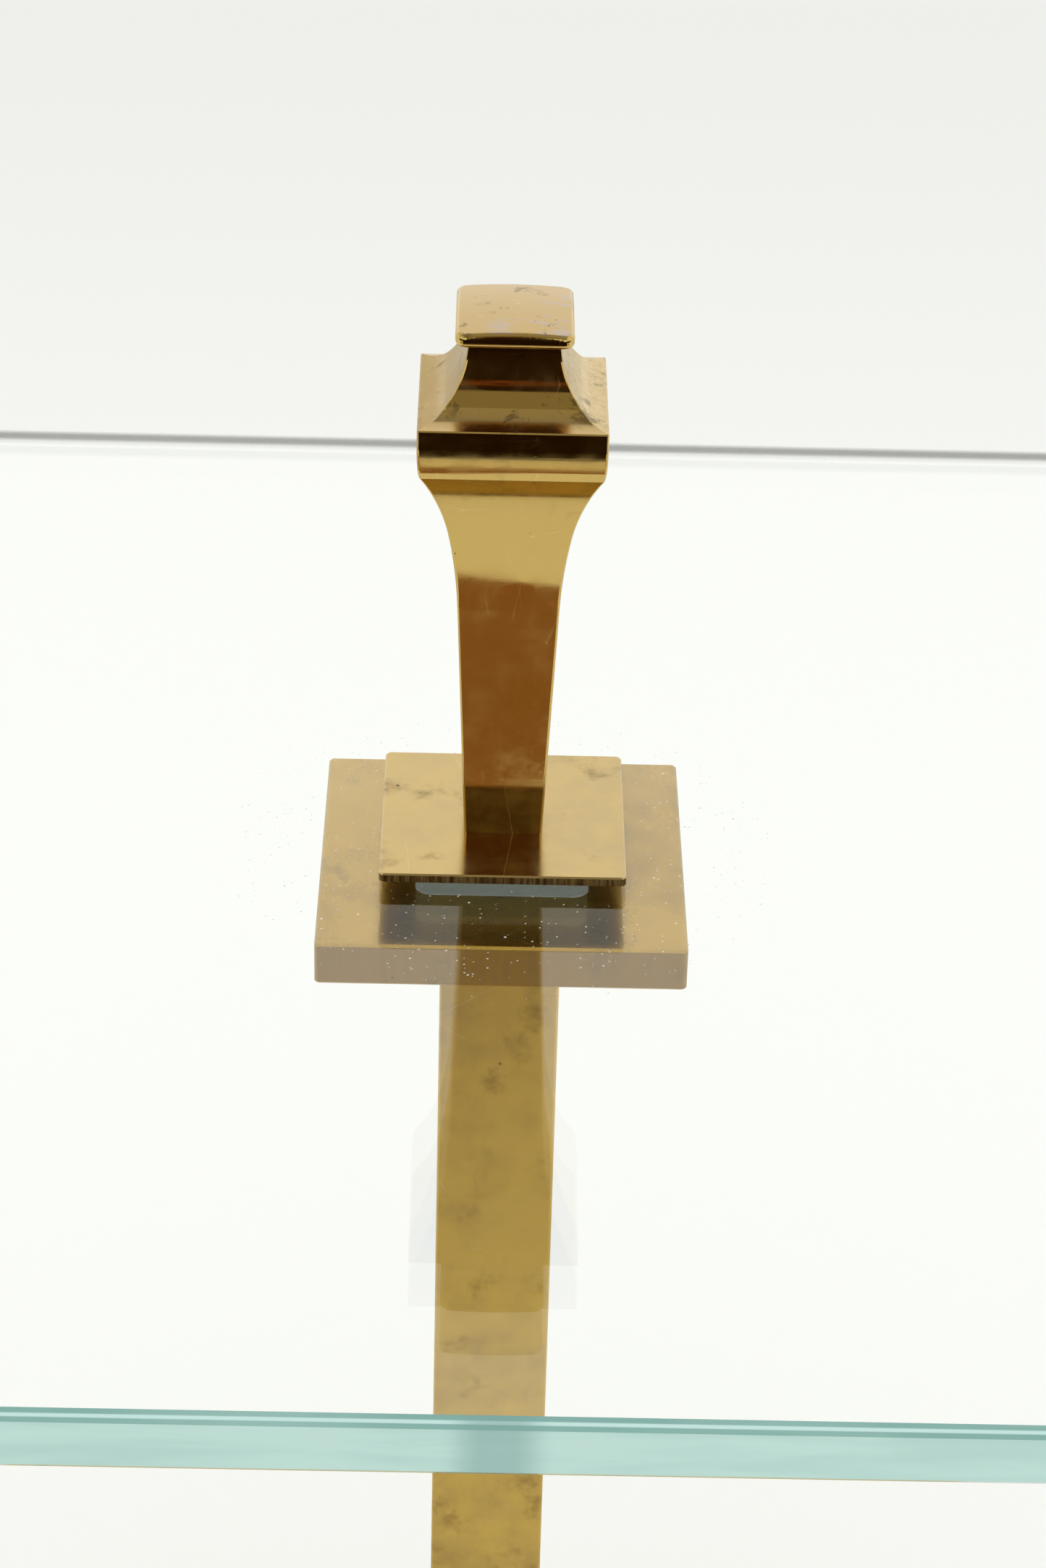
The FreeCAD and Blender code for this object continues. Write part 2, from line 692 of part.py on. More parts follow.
def cover_screws():
    """Four countersunk screws that hold the cover to the weight."""
    screws = []
    for number, (x, y) in enumerate(square_places("dims.screw_spacing"), start=1):
        slot = box(f"screw_slot_{number}", "dims.screw_head_radius * 2.2", "0.9", "0.6", x=x, y=y)
        screw = screw_shape(f"cover_screw_{number}", x, y, "0")
        screws.append(combine("Cut", f"slotted_screw_{number}", screw, slot))
    node(compound("cover_screw_group", screws), "cover_screws", f"{BASE_BOTTOM} + dims.cover_level")


def rubber_feet():
    """Four round feet stuck to the cover."""
    for number, (x, y) in enumerate(square_places("dims.foot_spacing"), start=1):
        body = body_of(f"rubber_foot_{number}")
        sketch = sketch_in(body, f"rubber_foot_{number}_outline")
        circle(sketch, "dims.foot_radius")
        pad(body, sketch, "dims.foot_height + dims.cover_level")
        bottom_rim = at_height(0, value_of("dims.foot_radius"))
        dress(body, "Fillet", bottom_rim, "0.8")
        bind(body, Placement__Base__x=x, Placement__Base__y=y)
        node(body, f"rubber_foot_{number}")


finial_body()
finial_cap()
finial_insert()
upper_plate()
gasket("upper_gasket", GLASS_TOP)
glass_shelf()
centring_bush()
gasket("lower_gasket", f"{GLASS_BOTTOM} - dims.gasket_thickness")
gasket_recess(square_flange("flange_plate", POST_TOP, dowels_from_top=False))
post_plug("post_top_plug", f"{POST_TOP} - dims.plug_length", dowels_from_top=True)
dowel_pair("flange_dowels", POST_TOP)
post_tube()
dowel_pair("collar_dowels", POST_BOTTOM)
post_plug("post_bottom_plug", POST_BOTTOM, dowels_from_top=False)
square_flange("foot_collar", BASE_TOP, dowels_from_top=True)
tie_rod()
base_shell()
base_weight()
rod_washer()
lock_washer()
rod_nut()
base_cover()
cover_screws()
rubber_feet()
doc.recompute()

# ---------------------------------------------------------------- checks and export
for item in doc.Objects:
    if "Invalid" in item.State or "Error" in item.State:
        raise RuntimeError(f"{item.Name} failed: {item.State}")
for item in NODES:
    if item.Shape.isNull() or not item.Shape.isValid():
        raise RuntimeError(f"{item.Label} has no valid shape")

os.makedirs("parts", exist_ok=True)
for item in NODES:
    item.Shape.exportStep(f"parts/{item.Label}.step")
    box_of = item.Shape.BoundBox
    print(f"{item.Label:18s} {len(item.Shape.Solids)} solid(s) {item.Shape.Volume / 1000:9.2f} cm3 "
          f"z {box_of.ZMin:7.2f} to {box_of.ZMax:7.2f}")
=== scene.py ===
"""Looks of the brass and glass display stand: camera, studio, and a material for each kind of surface."""
import json
import math

import bpy
from mathutils import Matrix, Vector


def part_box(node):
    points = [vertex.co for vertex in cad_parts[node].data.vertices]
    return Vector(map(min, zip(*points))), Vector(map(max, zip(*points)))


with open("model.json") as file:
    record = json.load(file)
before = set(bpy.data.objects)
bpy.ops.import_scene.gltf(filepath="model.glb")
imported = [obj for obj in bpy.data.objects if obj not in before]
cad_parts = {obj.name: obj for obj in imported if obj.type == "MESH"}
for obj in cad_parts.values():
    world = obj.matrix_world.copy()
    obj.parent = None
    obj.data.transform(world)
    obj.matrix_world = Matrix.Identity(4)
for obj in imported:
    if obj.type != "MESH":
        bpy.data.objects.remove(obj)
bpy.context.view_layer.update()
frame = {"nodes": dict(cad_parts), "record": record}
scene = bpy.context.scene

MM = 0.001
GLASS_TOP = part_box("glass_shelf")[1].z
CAP_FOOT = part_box("finial_body")[1].z - 0.0003    # a hair under the joint between finial and cap


# ---------------------------------------------------------------- camera
CAMERA_OFFSET = Vector((-4.7, -558.3, 332.1)) * MM    # from where the post's axis meets the glass's top
CAMERA_PITCH = math.radians(30.08)
CAMERA_YAW = math.radians(0.807)
CAMERA_ROLL = math.radians(1.548)
CAMERA_LENS = 89.71
FRAME_SIDE = 36.0
CLIP_START = 0.01


def make_camera():
    """Camera at the reference viewing angle, rolled a little about its own axis."""
    data = bpy.data.cameras.new("camera")
    data.lens = CAMERA_LENS
    data.sensor_width = FRAME_SIDE
    data.clip_start = CLIP_START
    camera = bpy.data.objects.new("camera", data)
    scene.collection.objects.link(camera)
    forward = Vector((math.sin(CAMERA_YAW) * math.cos(CAMERA_PITCH),
                      math.cos(CAMERA_YAW) * math.cos(CAMERA_PITCH), -math.sin(CAMERA_PITCH)))
    level = Vector((math.cos(CAMERA_YAW), -math.sin(CAMERA_YAW), 0))
    upward = level.cross(forward)
    right = level * math.cos(CAMERA_ROLL) + upward * math.sin(CAMERA_ROLL)
    up = upward * math.cos(CAMERA_ROLL) - level * math.sin(CAMERA_ROLL)
    turn = Matrix((right, up, -forward)).transposed()
    place = Vector((0, 0, GLASS_TOP)) + CAMERA_OFFSET
    camera.matrix_world = Matrix.Translation(place) @ turn.to_4x4()
    scene.camera = camera


# ---------------------------------------------------------------- node helpers
# Sizes are in metres. Colours are linear red, green and blue, and an alpha of 1.
def new_material(name):
    """Empty node material; returns the material and its tree."""
    material = bpy.data.materials.new(name)
    material.use_nodes = True
    material.node_tree.nodes.clear()
    return material, material.node_tree


def put(tree, value, socket):
    """Link a socket or set a plain value."""
    if isinstance(value, bpy.types.NodeSocket):
        tree.links.new(value, socket)
    else:
        socket.default_value = value


def math_node(tree, operation, first, second=0.0, clamp=False):
    """Result of one Math node."""
    node = tree.nodes.new("ShaderNodeMath")
    node.operation = operation
    node.use_clamp = clamp
    put(tree, first, node.inputs[0])
    put(tree, second, node.inputs[1])
    return node.outputs[0]


def absolute(tree, value):
    """Value without its sign."""
    return math_node(tree, "ABSOLUTE", value)


def times(tree, first, second):
    """Product of two values."""
    return math_node(tree, "MULTIPLY", first, second)


def plus(tree, first, second):
    """Sum of two values."""
    return math_node(tree, "ADD", first, second)


def either(tree, first, second):
    """Sum of two factors, held between 0 and 1."""
    return math_node(tree, "ADD", first, second, clamp=True)


def minus(tree, first, second):
    """Difference of two values."""
    return math_node(tree, "SUBTRACT", first, second)


def remap(tree, value, low, high, to_low=0.0, to_high=1.0):
    """Smooth step from to_low, at low and under it, to to_high, at high and over it."""
    node = tree.nodes.new("ShaderNodeMapRange")
    node.interpolation_type = "SMOOTHSTEP"
    put(tree, value, node.inputs["Value"])
    put(tree, low, node.inputs["From Min"])
    put(tree, high, node.inputs["From Max"])
    put(tree, to_low, node.inputs["To Min"])
    put(tree, to_high, node.inputs["To Max"])
    return node.outputs["Result"]


def fade(tree, value, low, high):
    """Smooth step from 1, at low and under it, to 0, at high and over it."""
    return remap(tree, value, low, high, 1.0, 0.0)


def mix_colour(tree, factor, first, second):
    """Mix of two colours. The node's colour sockets are its inputs 6 and 7 and its output 2."""
    node = tree.nodes.new("ShaderNodeMix")
    node.data_type = "RGBA"
    put(tree, factor, node.inputs["Factor"])
    put(tree, first, node.inputs[6])
    put(tree, second, node.inputs[7])
    return node.outputs[2]


def mix_shader(tree, factor, first, second):
    """Mix of two shaders."""
    node = tree.nodes.new("ShaderNodeMixShader")
    put(tree, factor, node.inputs[0])
    tree.links.new(first, node.inputs[1])
    tree.links.new(second, node.inputs[2])
    return node.outputs[0]


def place_coords(tree, scale=(1, 1, 1), turn=(0, 0, 0)):
    """Object coordinates in metres, scaled and turned."""
    coords = tree.nodes.new("ShaderNodeTexCoord")
    mapping = tree.nodes.new("ShaderNodeMapping")
    mapping.inputs["Scale"].default_value = scale
    mapping.inputs["Rotation"].default_value = turn
    tree.links.new(coords.outputs["Object"], mapping.inputs["Vector"])
    return mapping.outputs["Vector"]


def object_place(tree):
    """X, Y and Z of a point in the piece's own axes, in metres."""
    split = tree.nodes.new("ShaderNodeSeparateXYZ")
    tree.links.new(place_coords(tree), split.inputs[0])
    return split.outputs


def object_normal(tree):
    """X, Y and Z of the surface normal in the piece's own axes."""
    coords = tree.nodes.new("ShaderNodeTexCoord")
    split = tree.nodes.new("ShaderNodeSeparateXYZ")
    tree.links.new(coords.outputs["Normal"], split.inputs[0])
    return split.outputs


def noise(tree, coords, size, detail, rough, distortion=0.0):
    """Noise whose features are about size metres across."""
    node = tree.nodes.new("ShaderNodeTexNoise")
    tree.links.new(coords, node.inputs["Vector"])
    node.inputs["Scale"].default_value = 1 / size
    node.inputs["Detail"].default_value = detail
    node.inputs["Roughness"].default_value = rough
    node.inputs["Distortion"].default_value = distortion
    return node.outputs["Fac"]


def voronoi(tree, coords, size, feature):
    """Voronoi texture with cells about size metres across."""
    node = tree.nodes.new("ShaderNodeTexVoronoi")
    node.feature = feature
    tree.links.new(coords, node.inputs["Vector"])
    node.inputs["Scale"].default_value = 1 / size
    return node


def hairlines(tree, size, stretch, turn, width, share):
    """Thin broken scratches. width is in parts of a cell, and a larger share leaves more of them."""
    coords = place_coords(tree, stretch, turn)
    edge = voronoi(tree, coords, size, "DISTANCE_TO_EDGE").outputs["Distance"]
    line = fade(tree, edge, 0.0, width)
    level = 0.73 - 0.49 * share
    patches = noise(tree, coords, size * 0.9, detail=2.0, rough=0.55)
    return times(tree, line, remap(tree, patches, level, level + 0.08))


def specks(tree, size, radius, share):
    """Scattered dots. radius is in parts of a cell, and share is the part of the cells that hold one."""
    node = voronoi(tree, place_coords(tree), size, "F1")
    dot = fade(tree, node.outputs["Distance"], radius * 0.6, radius)
    split = tree.nodes.new("ShaderNodeSeparateColor")
    tree.links.new(node.outputs["Color"], split.inputs[0])
    chosen = math_node(tree, "LESS_THAN", split.outputs[0], share)
    return times(tree, dot, chosen)


def bump(tree, height, depth):
    """Normal for a height pattern that is depth metres deep."""
    node = tree.nodes.new("ShaderNodeBump")
    node.inputs["Strength"].default_value = 1.0
    node.inputs["Distance"].default_value = depth
    tree.links.new(height, node.inputs["Height"])
    return node.outputs["Normal"]


def finish_surface(tree, shader, volume=None):
    """Join a shader to the material's output."""
    output = tree.nodes.new("ShaderNodeOutputMaterial")
    tree.links.new(shader, output.inputs["Surface"])
    if volume is not None:
        tree.links.new(volume, output.inputs["Volume"])


def finish_metal(tree, colour, roughness, normal):
    """Make the material a fully metallic surface."""
    shader = tree.nodes.new("ShaderNodeBsdfPrincipled")
    shader.inputs["Metallic"].default_value = 1.0
    tree.links.new(colour, shader.inputs["Base Color"])
    tree.links.new(roughness, shader.inputs["Roughness"])
    tree.links.new(normal, shader.inputs["Normal"])
    finish_surface(tree, shader.outputs[0])


# ---------------------------------------------------------------- brass
POLISHED = (0.61, 0.42, 0.13, 1)
FILMED = (0.55, 0.415, 0.20, 1)
STAIN = (0.085, 0.055, 0.022, 1)
SCRATCHED = (1, 0.9, 0.7, 1)
BRASS_RELIEF = 6e-6

FINIAL_FILM = (0.495, 0.355, 0.165, 1)
FINIAL_SCRATCH = (0.85, 0.68, 0.38, 1)
FINIAL_SMEAR = (0.46, 0.375, 0.29, 1)
FINIAL_STAIN = (0.12, 0.085, 0.035, 1)
FINIAL_RELIEF = 4e-6
# Flank satin tones: painted shade on the left flank, a painted highlight on the right one.
SATIN_SHADED_LEFT = (0.445, 0.305, 0.107, 1)
SATIN_LIT_RIGHT = (0.66, 0.515, 0.28, 1)
SATIN_STROKES = (0.40, 0.30, 0.15, 1)
COVE_LOW = CAP_FOOT - 0.0125
COVE_HIGH = CAP_FOOT - 0.0105


def brass(name, clean, film, smooth, dull, film_share, spot_share, scratch_share,
          grain=(1, 1, 1), stain=STAIN, darker_sides=None):
    """Brass with a patchy film, stained pits, hairlines and a fine grain.

    smooth and dull are the roughness of its clean and its filmed patches. The last argument is the darker
    colour of a plate's upright faces, with file strokes in it; the near-black one of plate_brass is painted
    shade.
    """
    material, tree = new_material(name)
    coords = place_coords(tree)
    clouds = noise(tree, coords, 0.035, detail=5.0, rough=0.6)
    mottled = noise(tree, coords, 0.006, detail=4.0, rough=0.62)
    blend = plus(tree, times(tree, clouds, 0.62), times(tree, mottled, 0.38))
    level = 0.56 - 0.26 * film_share
    cover = remap(tree, blend, level, level + 0.26)
    grit = noise(tree, place_coords(tree, grain), 0.0009, detail=2.0, rough=0.6)
    along = hairlines(tree, 0.006, stretch=(1, 0.2, 1), turn=(0, 0, 0.5), width=0.010, share=scratch_share)
    across = hairlines(tree, 0.005, stretch=(0.2, 1, 0.4), turn=(0.3, 0, -0.2), width=0.009,
                       share=scratch_share)
    lines = either(tree, along, across)
    pits = specks(tree, 0.0045, radius=0.10, share=spot_share)
    blots = noise(tree, coords, 0.011, detail=4.0, rough=0.68)
    blots = remap(tree, blots, 0.56 - 0.1 * spot_share, 0.78)
    stained = either(tree, times(tree, pits, 0.75), times(tree, blots, 0.55))

    colour = mix_colour(tree, cover, clean, film)
    bright = mix_colour(tree, 0.5, clean, SCRATCHED)
    colour = mix_colour(tree, times(tree, lines, 0.35), colour, bright)
    roughness = remap(tree, blend, level, level + 0.26, smooth, dull)
    roughness = plus(tree, roughness, times(tree, grit, 0.06))
    roughness = plus(tree, roughness, times(tree, plus(tree, lines, stained), 0.18))
    if darker_sides is not None:
        # Upright faces take a darker colour with file strokes; the near-black one of plate_brass is painted
        # shade.
        upright = fade(tree, absolute(tree, object_normal(tree)["Z"]), 0.25, 0.45)
        strokes = noise(tree, place_coords(tree, (1, 1, 0.06)), 0.0006, detail=3.0, rough=0.7)
        lighter = mix_colour(tree, 0.35, darker_sides, clean)
        upright_tone = mix_colour(tree, remap(tree, strokes, 0.35, 0.65), darker_sides, lighter)
        colour = mix_colour(tree, upright, colour, upright_tone)
        roughness = plus(tree, roughness, times(tree, upright, 0.25))
    colour = mix_colour(tree, stained, colour, stain)
    height = plus(tree, times(tree, grit, 0.5), times(tree, pits, -1.0))
    finish_metal(tree, colour, roughness, bump(tree, height, BRASS_RELIEF))
    return material


def finial_brass():
    """Polished brass: brushed satin on the two flanks, painted darker on the left as shade and paler on the
    right as a highlight; filmed on its upward faces; the cap smeared.
    """
    material, tree = new_material("polished_brass")
    coords = place_coords(tree)
    normal = object_normal(tree)
    place = object_place(tree)
    upward = remap(tree, normal["Z"], 0.75, 0.92)
    capped = math_node(tree, "GREATER_THAN", place["Z"], CAP_FOOT)
    sideways = minus(tree, absolute(tree, normal["X"]), absolute(tree, normal["Y"]))
    flank = times(tree, remap(tree, sideways, 0.04, 0.12), minus(tree, 1.0, capped))

    mottled = noise(tree, coords, 0.005, detail=4.0, rough=0.62, distortion=0.3)
    clouds = noise(tree, coords, 0.016, detail=4.0, rough=0.6, distortion=0.8)
    brushed = noise(tree, place_coords(tree, (1, 1, 0.045)), 0.0007, detail=3.0, rough=0.7)
    rubbed = noise(tree, place_coords(tree, (0.05, 1, 1)), 0.0008, detail=2.0, rough=0.6)
    grit = plus(tree, times(tree, brushed, flank), times(tree, rubbed, minus(tree, 1.0, flank)))
    rising = hairlines(tree, 0.0045, stretch=(1, 1, 0.2), turn=(0.0, 0.6, 0.3), width=0.010, share=0.36)
    level = hairlines(tree, 0.0045, stretch=(0.22, 1, 1), turn=(0.2, -0.45, 0), width=0.009, share=0.28)
    lines = either(tree, rising, level)
    pits = specks(tree, 0.0030, radius=0.085, share=0.2)
    above_cove = remap(tree, place["Z"], COVE_LOW, COVE_HIGH, 0.15, 1.0)
    blots = remap(tree, noise(tree, coords, 0.004, detail=5.0, rough=0.75, distortion=0.5), 0.54, 0.62)
    blots = times(tree, blots, times(tree, remap(tree, clouds, 0.46, 0.56), above_cove))
    stained = either(tree, times(tree, pits, 0.6), times(tree, blots, 0.6))
    smear_coords = place_coords(tree, (1, 2.2, 1), (0, 0, 0.7))
    smear = remap(tree, noise(tree, smear_coords, 0.008, detail=3.0, rough=0.65, distortion=0.8), 0.48, 0.56)
    right_front = remap(tree, minus(tree, place["X"], place["Y"]), 0.0, 0.006)
    smear = times(tree, times(tree, upward, capped), times(tree, smear, right_front))

    colour = mix_colour(tree, times(tree, upward, 0.9), POLISHED, FINIAL_FILM)
    # Painted light: the flank satin turns from a shaded darker tone on the left to a lit paler tone on the
    # right.
    satin = mix_colour(tree, remap(tree, place["X"], -0.012, 0.012), SATIN_SHADED_LEFT, SATIN_LIT_RIGHT)
    colour = mix_colour(tree, flank, colour, satin)
    strokes = times(tree, remap(tree, brushed, 0.35, 0.75), times(tree, flank, 0.5))
    colour = mix_colour(tree, strokes, colour, SATIN_STROKES)
    colour = mix_colour(tree, times(tree, lines, 0.4), colour, FINIAL_SCRATCH)
    colour = mix_colour(tree, times(tree, smear, 0.85), colour, FINIAL_SMEAR)
    colour = mix_colour(tree, stained, colour, FINIAL_STAIN)
    roughness = plus(tree, remap(tree, mottled, 0.3, 0.75, 0.045, 0.12), times(tree, flank, 0.26))
    marked = plus(tree, upward, plus(tree, stained, lines))
    roughness = plus(tree, roughness, times(tree, marked, 0.10))
    height = plus(tree, times(tree, grit, 0.5), times(tree, pits, -0.8))
    finish_metal(tree, colour, roughness, bump(tree, height, FINIAL_RELIEF))
    return material


# ---------------------------------------------------------------- solid stuff
def matter(name, first, second, size, rough, depth, metallic=0.0, spots=None, painted_glow=0.0):
    """Solid stuff with two mixed tones, an uneven finish and a fine relief; spots adds a third tone.

    The last argument is painted light: an even emission in the first tone that lifts a piece lying in shade.
    """
    material, tree = new_material(name)
    coords = place_coords(tree)
    coarse = noise(tree, coords, size * 6, detail=4.0, rough=0.6)
    fine = noise(tree, coords, size, detail=3.0, rough=0.65)
    blend = plus(tree, times(tree, coarse, 0.6), times(tree, fine, 0.4))
    colour = mix_colour(tree, remap(tree, blend, 0.38, 0.62), first, second)
    if spots is not None:
        dots = specks(tree, size * 5, radius=0.16, share=0.3)
        colour = mix_colour(tree, times(tree, dots, 0.7), colour, spots)
    roughness = remap(tree, coarse, 0.3, 0.7, rough - 0.08, rough + 0.08)
    shader = tree.nodes.new("ShaderNodeBsdfPrincipled")
    shader.inputs["Metallic"].default_value = metallic
    # Painted light: the piece shines in its first tone, though it is no lamp.
    shader.inputs["Emission Strength"].default_value = painted_glow
    shader.inputs["Emission Color"].default_value = first
    tree.links.new(colour, shader.inputs["Base Color"])
    tree.links.new(roughness, shader.inputs["Roughness"])
    tree.links.new(bump(tree, fine, depth), shader.inputs["Normal"])
    finish_surface(tree, shader.outputs[0])
    return material


# ---------------------------------------------------------------- glass
GLASS_INDEX = 1.52
GLASS_BODY = (0.45, 0.83, 0.80, 1)
GLASS_DENSITY = 2.2
GLASS_MIRROR = (0.80, 0.72, 0.50, 1)
EDGE_DEEP, EDGE_PALE = (0.475, 0.70, 0.655, 1), (0.54, 0.765, 0.715, 1)
BEVEL_DEEP, BEVEL_PALE = (0.24, 0.45, 0.41, 1), (0.31, 0.52, 0.475, 1)
# Painted shade for the middle of the front and back edges, where the post stands in line behind.
EDGE_MIDDLE_SHADE = (0.20, 0.38, 0.36, 1)
EDGE_ROUGHNESS = 0.12
# Colour and height of the painted highlight line on the upper bevel.
PAINTED_HIGHLIGHT_LINE = (0.58, 0.82, 0.78, 1)
PAINTED_HIGHLIGHT_Z = GLASS_TOP - 0.0007
GREY_LINE = (0.24, 0.25, 0.24, 1)
GREY_LINE_Z = GLASS_TOP - 0.0056
DUST = (0.99, 0.99, 0.96, 1)
DUST_COVER = 0.6
DUST_REACH = 0.046


def outer_edge(tree, normal, place):
    """Blue-green edge as it is met from outside: a painted highlight line along its upper bevel, and painted
    shade in the middle of the front and back edges, where the post stands in line behind.
    """
    bevelled = remap(tree, absolute(tree, normal["Z"]), 0.4, 0.6)
    off_line = absolute(tree, minus(tree, place["Z"], PAINTED_HIGHLIGHT_Z))
    # Painted highlight: a bright line along the upper bevel.
    bright = times(tree, bevelled, fade(tree, off_line, 0.00010, 0.00026))
    waves = noise(tree, place_coords(tree, (0.12, 0.12, 1.2)), 0.004, detail=3.0, rough=0.55, distortion=0.4)
    swing = remap(tree, waves, 0.3, 0.7)
    face = mix_colour(tree, swing, EDGE_DEEP, EDGE_PALE)
    bevel = mix_colour(tree, swing, BEVEL_DEEP, BEVEL_PALE)
    colour = mix_colour(tree, bevelled, face, bevel)
    colour = mix_colour(tree, bright, colour, PAINTED_HIGHLIGHT_LINE)
    # Painted shade: darker near X of 0, where the post stands in line behind the edge.
    middle = fade(tree, absolute(tree, place["X"]), 0.002, 0.008)
    colour = mix_colour(tree, times(tree, middle, 0.55), colour, EDGE_MIDDLE_SHADE)
    rim = tree.nodes.new("ShaderNodeBsdfPrincipled")
    rim.inputs["Roughness"].default_value = EDGE_ROUGHNESS
    rim.inputs["IOR"].default_value = GLASS_INDEX
    tree.links.new(colour, rim.inputs["Base Color"])
    return rim.outputs[0]


def inner_edge(tree, place):
    """Clear edge with a soft grey line, as it is met from inside the glass."""
    through = tree.nodes.new("ShaderNodeBsdfTransparent")
    grey = tree.nodes.new("ShaderNodeBsdfDiffuse")
    grey.inputs["Color"].default_value = GREY_LINE
    off_line = absolute(tree, minus(tree, place["Z"], GREY_LINE_Z))
    clear = remap(tree, off_line, 0.0006, 0.0046, 0.22, 1.0)
    return mix_shader(tree, clear, grey.outputs[0], through.outputs[0])


def dusty(tree, clear):
    """Clear glass under scattered dust."""
    powder = tree.nodes.new("ShaderNodeBsdfDiffuse")
    powder.inputs["Color"].default_value = DUST
    fine = specks(tree, 0.0012, radius=0.16, share=0.32)
    coarse = specks(tree, 0.0030, radius=0.090, share=0.40)
    dust = times(tree, either(tree, fine, coarse), DUST_COVER)
    return mix_shader(tree, dust, clear, powder.outputs[0])


def shelf_glass():
    """Float glass with blue-green polished edges, and dust on its top by the plates."""
    material, tree = new_material("shelf_glass")
    clear = tree.nodes.new("ShaderNodeBsdfPrincipled")
    clear.inputs["Base Color"].default_value = (1, 1, 1, 1)
    clear.inputs["Transmission Weight"].default_value = 1.0
    clear.inputs["Roughness"].default_value = 0.0
    clear.inputs["IOR"].default_value = GLASS_INDEX
    clear.inputs["Specular Tint"].default_value = GLASS_MIRROR
    normal = object_normal(tree)
    place = object_place(tree)
    reach = plus(tree, times(tree, place["X"], place["X"]), times(tree, place["Y"], place["Y"]))
    near = math_node(tree, "LESS_THAN", reach, DUST_REACH ** 2)
    upper = times(tree, near, math_node(tree, "GREATER_THAN", normal["Z"], 0.98))
    sheet = mix_shader(tree, upper, clear.outputs[0], dusty(tree, clear.outputs[0]))
    inside = tree.nodes.new("ShaderNodeNewGeometry").outputs["Backfacing"]
    edge = mix_shader(tree, inside, outer_edge(tree, normal, place), inner_edge(tree, place))
    on_edge = math_node(tree, "LESS_THAN", absolute(tree, normal["Z"]), 0.93)
    absorb = tree.nodes.new("ShaderNodeVolumeAbsorption")
    absorb.inputs["Color"].default_value = GLASS_BODY
    absorb.inputs["Density"].default_value = GLASS_DENSITY
    finish_surface(tree, mix_shader(tree, on_edge, sheet, edge), absorb.outputs[0])
    return material


# ---------------------------------------------------------------- studio
FLOOR_HALF = 8.0
FLOOR_NEAR, FLOOR_FAR = (0.98, 0.985, 0.955, 1), (0.845, 0.85, 0.82, 1)
FLOOR_FADE = (0.1, 1.4)    # the Y between which the near tone turns to the far one
# The room floor that only mirrors show, from the stand towards the front. Each pair of Y ends a zone.
TABLE_END = (-0.450, -0.444)
BROWN_END = (-0.612, -0.598)
PALE_END = (-0.74, -0.69)
ROOM_BROWN = (0.30, 0.118, 0.021, 1)
ROOM_PALE = (0.86, 0.83, 0.72, 1)
ROOM_DARK = (0.018, 0.008, 0.002, 1)

FRONT_Y, OVER_BACK_Y = -1.3, 0.5
FRONT_HALF, UPPER_HALF = 0.10, 1.3
FRONT_TOP, UPPER_TOP = 1.28, 2.3
FRONT_COLOUR, FRONT_GLINT = (0.026, 0.012, 0.004, 1), (0.36, 0.11, 0.03, 1)
FRONT_GLINT_Z = 0.98
UPPER_COLOUR, OVER_COLOUR = (0.30, 0.265, 0.18, 1), (0.40, 0.37, 0.30, 1)
WORLD_FRONT, WORLD_BACK = (0.97, 0.97, 0.96, 1), (1.22, 1.22, 1.20, 1)


def flat_object(name, corners, material):
    """One flat face; corners run round its edge."""
    mesh = bpy.data.meshes.new(name)
    mesh.from_pydata(corners, [], [tuple(range(len(corners)))])
    mesh.materials.append(material)
    item = bpy.data.objects.new(name, mesh)
    scene.collection.objects.link(item)
    return item


def room_light(name, colour, glint):
    """Material that shines in one colour; glint is None or the colour of ragged glints in a level band."""
    material, tree = new_material(name)
    light = tree.nodes.new("ShaderNodeEmission")
    if glint is not None:
        off_band = absolute(tree, minus(tree, object_place(tree)["Z"], FRONT_GLINT_Z))
        ragged = noise(tree, place_coords(tree, (8, 1, 1.2)), 0.10, detail=3.0, rough=0.6)
        glints = times(tree, remap(tree, ragged, 0.50, 0.56), fade(tree, off_band, 0.04, 0.14))
        colour = mix_colour(tree, glints, colour, glint)
    put(tree, colour, light.inputs["Color"])
    finish_surface(tree, light.outputs[0])
    return material


def card(name, corners, colour, glint=None):
    """Card that only mirror-like surfaces see."""
    item = flat_object(name, corners, room_light(name, colour, glint))
    item.visible_camera = False
    item.visible_diffuse = False
    item.visible_transmission = False
    item.visible_shadow = False


def floor_material():
    """Pale floor; in mirrors it is a table, then a brown strip, a pale one and a dark room floor."""
    material, tree = new_material("floor")
    place = object_place(tree)
    pale = tree.nodes.new("ShaderNodeBsdfDiffuse")
    tone = mix_colour(tree, remap(tree, place["Y"], *FLOOR_FADE), FLOOR_NEAR, FLOOR_FAR)
    tree.links.new(tone, pale.inputs["Color"])
    room = tree.nodes.new("ShaderNodeEmission")
    strip = mix_colour(tree, remap(tree, place["Y"], *BROWN_END), ROOM_PALE, ROOM_BROWN)
    strip = mix_colour(tree, remap(tree, place["Y"], *PALE_END), ROOM_DARK, strip)
    tree.links.new(strip, room.inputs["Color"])
    aside = math_node(tree, "MINIMUM", math_node(tree, "MAXIMUM", place["X"], -0.05), 0.05)
    slanted = plus(tree, place["Y"], times(tree, aside, 1.05))
    ragged = noise(tree, place_coords(tree, (1, 0.3, 1)), 0.006, detail=3.0, rough=0.6)
    beyond = fade(tree, plus(tree, slanted, times(tree, ragged, 0.016)), *TABLE_END)
    path = tree.nodes.new("ShaderNodeLightPath")
    mirrored = math_node(tree, "GREATER_THAN", path.outputs["Glossy Depth"], 0.5)
    finish_surface(tree, mix_shader(tree, times(tree, beyond, mirrored), pale.outputs[0], room.outputs[0]))
    return material


